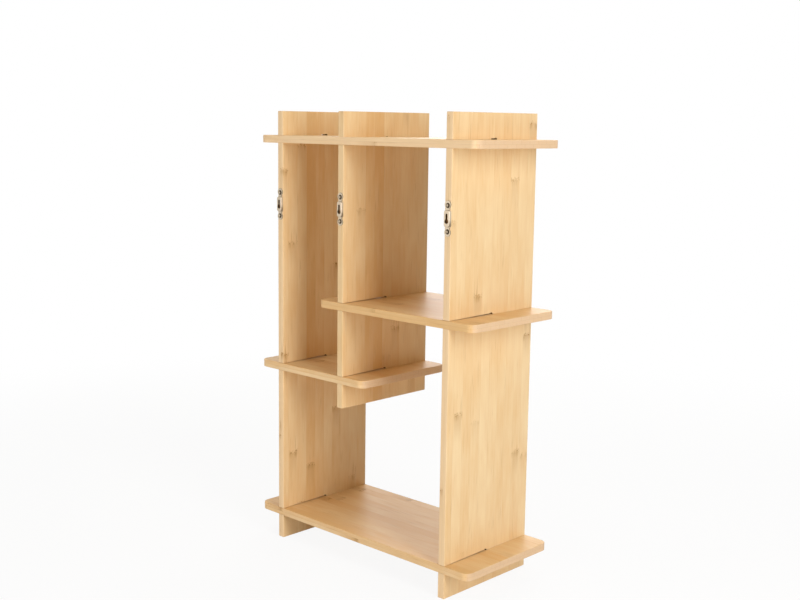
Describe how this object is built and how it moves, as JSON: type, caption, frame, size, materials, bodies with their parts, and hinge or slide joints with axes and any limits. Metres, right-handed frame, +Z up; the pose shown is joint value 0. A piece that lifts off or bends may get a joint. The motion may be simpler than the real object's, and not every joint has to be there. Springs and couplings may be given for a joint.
{
  "type": "plant stand",
  "caption": "Slot-together bamboo plant stand: shelves at staggered heights cross upright boards in half-depth slots, with steel keyhole hangers on the uprights' rear edges.",
  "frame": {"origin": "on the floor, in the middle of the overall width and depth", "axes": "+Z up; +X along the shelves, towards the wide bay; -Y is the rear, where the hangers are, and is the side the picture shows"},
  "size_m": [0.455, 0.1932, 0.7],
  "materials": {
    "bamboo": "laminated bamboo strips under a clear satin lacquer",
    "nickel_steel": "nickel-plated pressed steel"
  },
  "bodies": {
    "root": {"top_shelf": "bamboo", "right_shelf": "bamboo", "left_shelf": "bamboo", "bottom_shelf": "bamboo", "left_upright": "bamboo", "left_hanger": "nickel_steel", "left_upper_screw": "nickel_steel", "left_lower_screw": "nickel_steel", "middle_upright": "bamboo", "middle_hanger": "nickel_steel", "middle_upper_screw": "nickel_steel", "middle_lower_screw": "nickel_steel", "right_upright": "bamboo", "right_hanger": "nickel_steel", "right_upper_screw": "nickel_steel", "right_lower_screw": "nickel_steel"}
  },
  "joints": []
}
